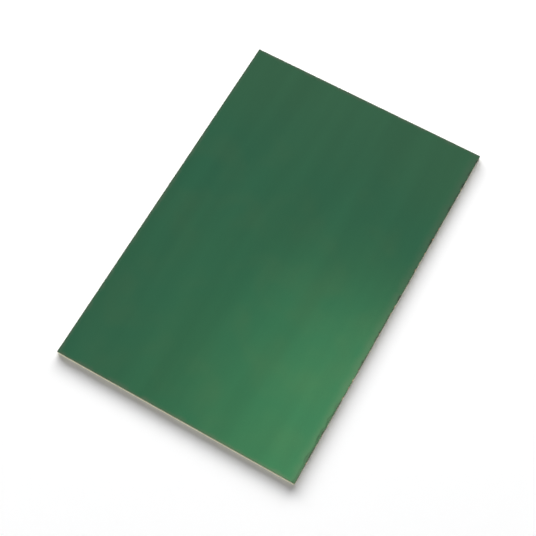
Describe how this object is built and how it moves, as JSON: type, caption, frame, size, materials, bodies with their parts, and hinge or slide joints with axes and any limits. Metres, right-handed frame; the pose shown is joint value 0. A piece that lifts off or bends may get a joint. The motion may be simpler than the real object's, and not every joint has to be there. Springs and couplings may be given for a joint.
{
  "type": "photoresist copper clad board",
  "caption": "Flat rectangular glass-epoxy sheet with copper foil bonded over one face under a green light-sensitive coat, ready to be exposed and etched into a circuit.",
  "frame": {"origin": "centre of the underside, on the surface the board lies on", "axes": "+Z out of the coated face, +Y along the 150 mm side, +X along the 100 mm side"},
  "size_m": [0.1, 0.15, 0.0016],
  "materials": {
    "glass_epoxy": "cured glass cloth and epoxy, cream, smooth resin face and fibrous cut sides",
    "copper": "electrodeposited copper foil, bright where cut",
    "green_photoresist": "satin see-through green coat over the copper"
  },
  "bodies": {
    "root": {"laminate_core": "glass_epoxy", "copper_foil": "copper", "photoresist_coat": "green_photoresist"}
  },
  "joints": []
}
